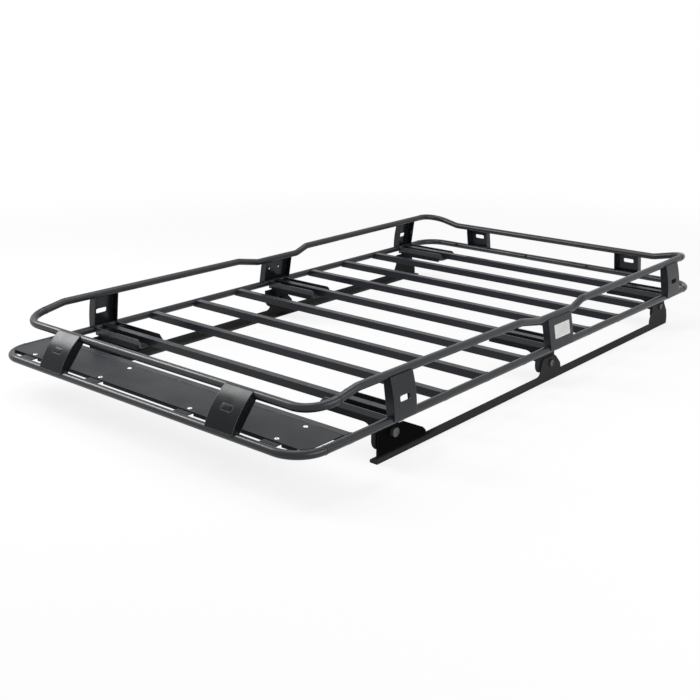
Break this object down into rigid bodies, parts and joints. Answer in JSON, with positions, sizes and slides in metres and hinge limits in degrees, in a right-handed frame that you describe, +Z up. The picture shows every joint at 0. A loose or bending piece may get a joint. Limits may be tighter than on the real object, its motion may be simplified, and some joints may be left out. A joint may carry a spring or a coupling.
{
  "type": "expedition roof rack with a slatted floor",
  "caption": "Tubular basket roof rack with a slatted floor, raised side rails on sheet posts, a front plate and bolt-on mounting rails.",
  "frame": {"origin": "on the middle line, halfway along the rack, on the plane under the mounting rails", "axes": "+X to the vehicle's front, +Y to its left, +Z up"},
  "size_m": [2.3688, 1.352, 0.2715],
  "materials": {
    "tube_coat": "satin black powder coat on steel tube",
    "crossbar_coat": "satin black powder coat on square steel tube",
    "plate_coat": "satin black powder coat on sheet steel",
    "post_coat": "satin black powder coat on folded sheet steel",
    "foot_coat": "matt black powder coat on folded sheet steel"
  },
  "bodies": {
    "root": {"lower_front_tube": "tube_coat", "lower_rear_tube": "tube_coat", "lower_left_tube": "tube_coat", "lower_right_tube": "tube_coat", "upper_front_rail": "tube_coat", "upper_rear_rail": "tube_coat", "upper_left_rail": "tube_coat", "upper_right_rail": "tube_coat", "plate_crossbar": "crossbar_coat", "crossbar_1": "crossbar_coat", "crossbar_2": "crossbar_coat", "crossbar_3": "crossbar_coat", "crossbar_4": "crossbar_coat", "crossbar_5": "crossbar_coat", "crossbar_6": "crossbar_coat", "crossbar_7": "crossbar_coat", "crossbar_8": "crossbar_coat", "crossbar_9": "crossbar_coat", "front_plate": "plate_coat", "plate_tabs": "plate_coat", "rear_tabs": "plate_coat", "side_post_front_left": "post_coat", "side_post_middle_left": "post_coat", "side_post_rear_left": "post_coat", "side_post_front_right": "post_coat", "side_post_middle_right": "post_coat", "side_post_rear_right": "post_coat", "front_post_left": "post_coat", "front_post_right": "post_coat", "rear_post_left": "post_coat", "rear_post_right": "post_coat", "tray_front_left": "foot_coat", "tray_middle_left": "foot_coat", "tray_rear_left": "foot_coat", "tray_front_right": "foot_coat", "tray_middle_right": "foot_coat", "tray_rear_right": "foot_coat", "foot_bracket_front_left": "foot_coat", "foot_bracket_middle_left": "foot_coat", "foot_bracket_rear_left": "foot_coat", "foot_bracket_front_right": "foot_coat", "foot_bracket_middle_right": "foot_coat", "foot_bracket_rear_right": "foot_coat", "mounting_rail_left": "foot_coat", "mounting_rail_right": "foot_coat"}
  },
  "joints": []
}
